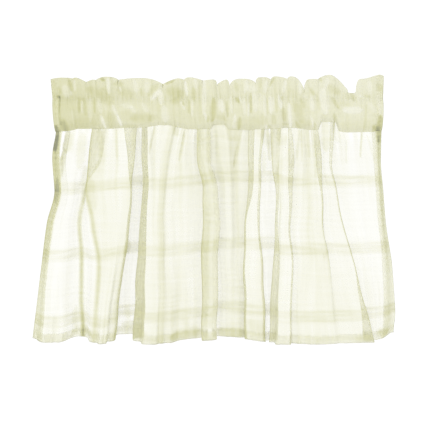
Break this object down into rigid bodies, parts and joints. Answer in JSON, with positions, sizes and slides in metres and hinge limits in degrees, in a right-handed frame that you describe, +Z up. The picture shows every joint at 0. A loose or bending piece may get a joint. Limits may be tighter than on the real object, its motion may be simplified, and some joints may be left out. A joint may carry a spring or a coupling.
{
  "type": "window valance",
  "caption": "Sheer gathered window valance with a ruffled heading above an open rod pocket, uneven hanging folds and turned hems.",
  "frame": {"origin": "middle of the heading's top edge", "axes": "+Z up, +X to the right as seen from the room, -Y towards the room"},
  "size_m": [0.496, 0.048, 0.3593],
  "materials": {
    "sheer_cloth": "matte, semi-sheer plain weave with thicker bands",
    "heading_cloth": "matte, gathered double semi-sheer cloth"
  },
  "bodies": {
    "root": {"drop": "sheer_cloth", "heading": "heading_cloth"}
  },
  "joints": []
}
